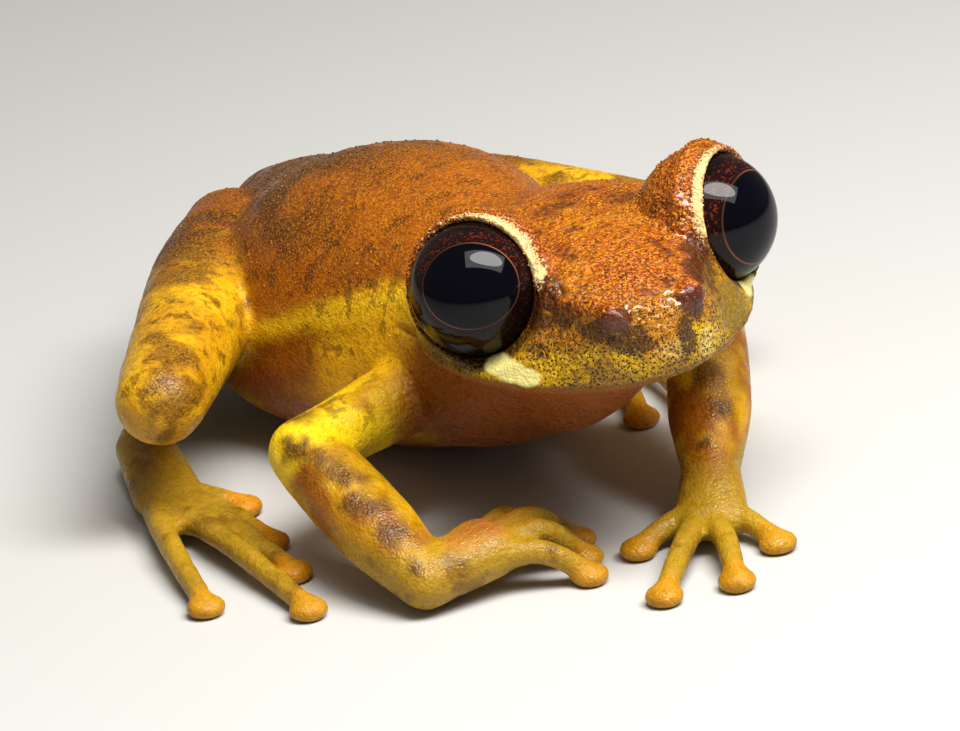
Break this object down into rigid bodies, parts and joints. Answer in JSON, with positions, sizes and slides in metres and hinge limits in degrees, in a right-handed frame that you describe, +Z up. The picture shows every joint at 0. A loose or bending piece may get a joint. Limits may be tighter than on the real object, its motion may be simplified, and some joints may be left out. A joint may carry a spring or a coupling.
{
  "type": "treefrog",
  "caption": "Life-size still model of a small crouched treefrog: broad head with bulging eyes, low body, folded hind legs, and spread fingers and toes with round discs.",
  "frame": {"origin": "middle of the bounding box seen from above, on the floor the frog rests on", "axes": "+Z up; the frog faces -Y, so +Y runs from snout to rump; +X is the frog's left side"},
  "size_m": [0.0182, 0.0242, 0.0092],
  "materials": {
    "skin_back": "moist satin skin, rust orange with brown flecks",
    "skin_throat": "moist satin skin, thin and brownish orange",
    "skin_limb": "moist satin skin, yellow mottled with brown",
    "eye_dark": "wet, near-black eyeball"
  },
  "bodies": {
    "root": {"head": "skin_back", "lower_jaw": "skin_throat", "torso": "skin_back", "eye_right": "eye_dark", "eye_left": "eye_dark", "upper_arm_right": "skin_limb", "forearm_right": "skin_limb", "hand_right": "skin_limb", "upper_arm_left": "skin_limb", "forearm_left": "skin_limb", "hand_left": "skin_limb", "thigh_right": "skin_limb", "shank_right": "skin_limb", "tarsus_right": "skin_limb", "foot_right": "skin_limb", "thigh_left": "skin_limb", "shank_left": "skin_limb", "tarsus_left": "skin_limb", "foot_left": "skin_limb"}
  },
  "joints": []
}
